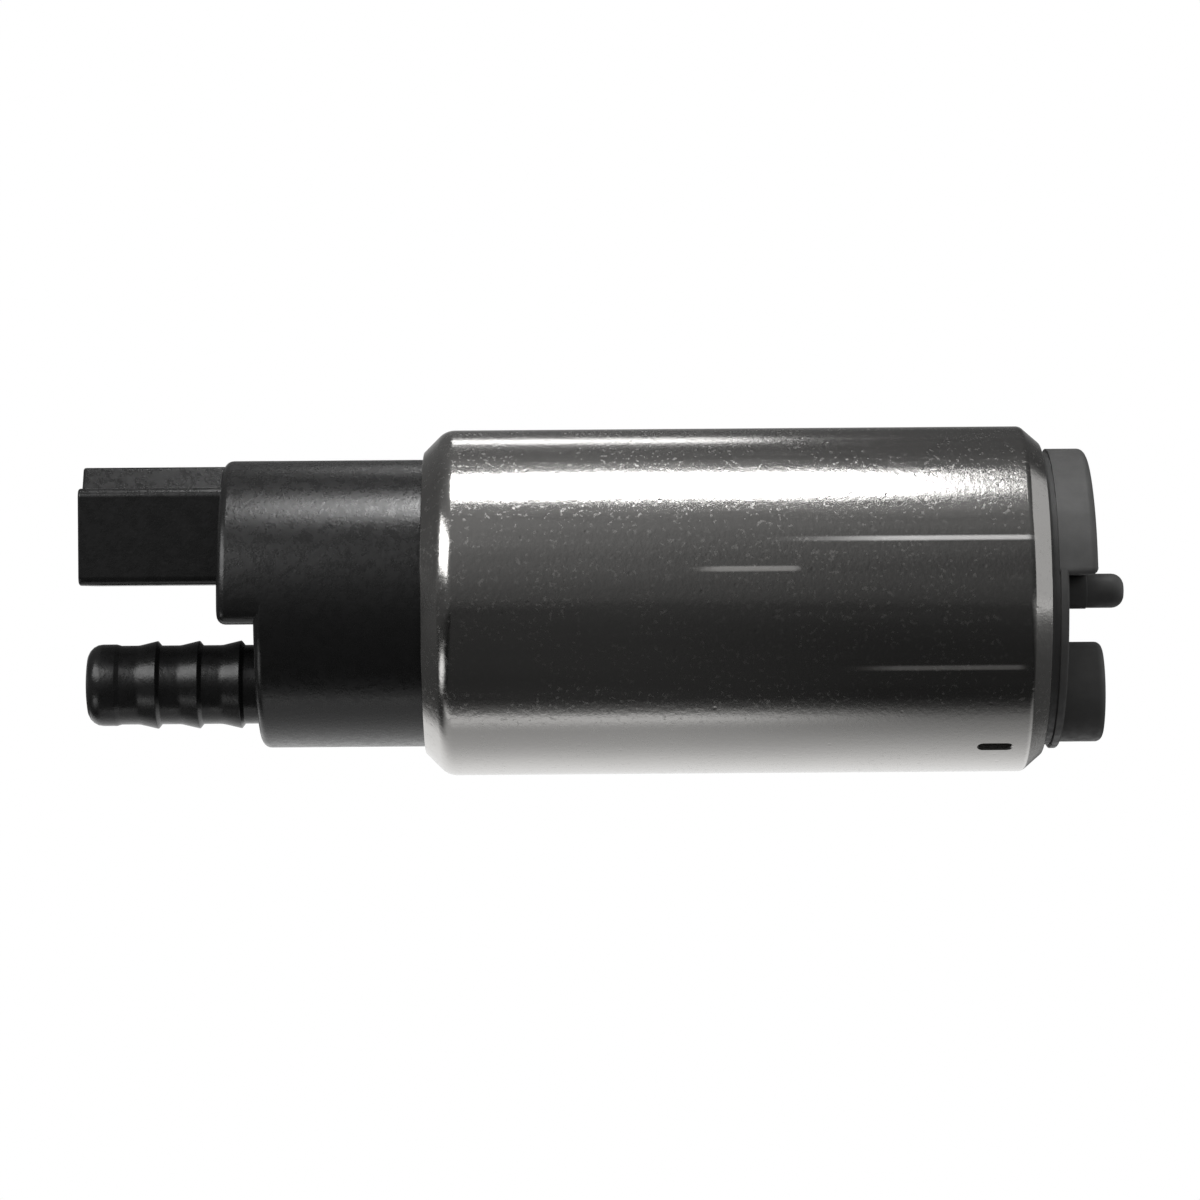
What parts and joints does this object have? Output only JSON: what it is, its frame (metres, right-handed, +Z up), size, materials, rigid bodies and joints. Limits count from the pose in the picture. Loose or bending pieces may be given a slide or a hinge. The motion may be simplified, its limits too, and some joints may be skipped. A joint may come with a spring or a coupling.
{
  "type": "in-tank electric fuel pump",
  "caption": "Cylindrical in-tank electric fuel pump: crimped steel can, barbed outlet and plug socket at one end, inlet tube and locating peg at the other.",
  "frame": {"origin": "on the pump's axis, near the middle of the steel can's straight stretch", "axes": "+X along the axis towards the inlet end, +Z up through the socket side, camera on the -Y side"},
  "size_m": [0.1137, 0.038, 0.038],
  "materials": {
    "can_steel": "satin, faintly pitted",
    "black_plastic": "fine moulded grain",
    "grey_plastic": "fine moulded grain",
    "seal_rubber": "matte",
    "holder_plastic": "moulded",
    "poppet_plastic": "moulded",
    "spring_steel": "bright wire",
    "ring_steel": "plain rolled",
    "ferrite": "ground ferrite",
    "shaft_steel": "ground",
    "laminations": "stacked sheet",
    "copper": "enamelled wire",
    "commutator_plastic": "moulded",
    "commutator_carbon": "turned carbon",
    "bronze": "sintered",
    "housing_plastic": "moulded",
    "impeller_plastic": "ground flat",
    "pad_plastic": "smooth",
    "tinned_brass": "tinned",
    "carbon": "pressed carbon"
  },
  "bodies": {
    "pump": {"pump_shell": "can_steel", "outlet_cover": "black_plastic", "outlet_seal": "seal_rubber", "brush_holder": "holder_plastic", "rear_bush": "bronze", "check_valve_seat": "seal_rubber", "check_valve_guide": "black_plastic", "check_valve_spring": "spring_steel", "flux_ring": "ring_steel", "magnet_upper": "ferrite", "magnet_lower": "ferrite", "magnet_clip_far": "spring_steel", "magnet_clip_near": "spring_steel", "pump_housing": "housing_plastic", "front_bush": "bronze", "inlet_cover": "grey_plastic", "thrust_pad": "pad_plastic", "terminal_blade_positive": "tinned_brass", "choke_core_positive": "ferrite", "choke_winding_positive": "copper", "brush_spring_positive": "spring_steel", "brush_lead_positive": "copper", "terminal_blade_negative": "tinned_brass", "choke_core_negative": "ferrite", "choke_winding_negative": "copper", "brush_spring_negative": "spring_steel", "brush_lead_negative": "copper"},
    "rotor": {"shaft": "shaft_steel", "lamination_stack": "laminations", "armature_winding": "copper", "commutator_base": "commutator_plastic", "commutator_segments": "commutator_carbon", "impeller": "impeller_plastic"},
    "check_poppet": {"check_valve_poppet": "poppet_plastic"},
    "brush_positive": {"brush_positive": "carbon"},
    "brush_negative": {"brush_negative": "carbon"}
  },
  "joints": [
    {"name": "rotor_spin", "type": "hinge", "parent": "pump", "child": "rotor", "pos_m": [0, 0, 0], "axis": [1, 0, 0], "continuous": true},
    {"name": "brush_positive_wear", "type": "slide", "parent": "pump", "child": "brush_positive", "axis": [-1, 0, 0], "range_m": [0, 0.002], "stiffness_N_per_m": 150, "deforming": ["brush_spring_positive", "brush_lead_positive"]},
    {"name": "brush_negative_wear", "type": "slide", "parent": "pump", "child": "brush_negative", "axis": [-1, 0, 0], "range_m": [0, 0.002], "stiffness_N_per_m": 150, "deforming": ["brush_spring_negative", "brush_lead_negative"]},
    {"name": "check_valve_lift", "type": "slide", "parent": "pump", "child": "check_poppet", "axis": [-1, 0, 0], "range_m": [0, 0.002], "stiffness_N_per_m": 60, "deforming": ["check_valve_spring"]}
  ]
}
